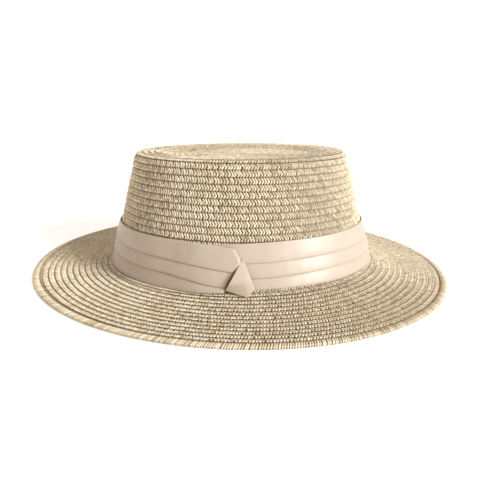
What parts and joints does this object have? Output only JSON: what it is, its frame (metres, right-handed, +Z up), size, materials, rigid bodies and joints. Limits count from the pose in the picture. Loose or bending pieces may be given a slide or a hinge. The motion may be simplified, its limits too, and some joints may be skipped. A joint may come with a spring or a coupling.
{
  "type": "boater hat",
  "caption": "Boater hat of sewn straw braid: tapered oval crown with a shallow dished top, nearly flat brim, and a pleated satin ribbon band closed by a folded tab.",
  "frame": {"origin": "centre of the hat's outline, on the flat surface that the brim's edge rests on", "axes": "+Z up out of the crown's top, +X along the long axis of the oval, -Y towards the ribbon's folded tab"},
  "size_m": [0.3168, 0.2872, 0.0917],
  "materials": {
    "straw": "matt twisted paper-straw braid, sewn in lapped rows, cream to tan",
    "edge_braid": "matt twisted paper-straw braid, single flat row, cream to tan",
    "satin": "soft ivory satin ribbon with a low sheen"
  },
  "bodies": {
    "root": {"crown": "straw", "brim": "straw", "edge_row": "edge_braid", "band": "satin", "tab": "satin"}
  },
  "joints": []
}
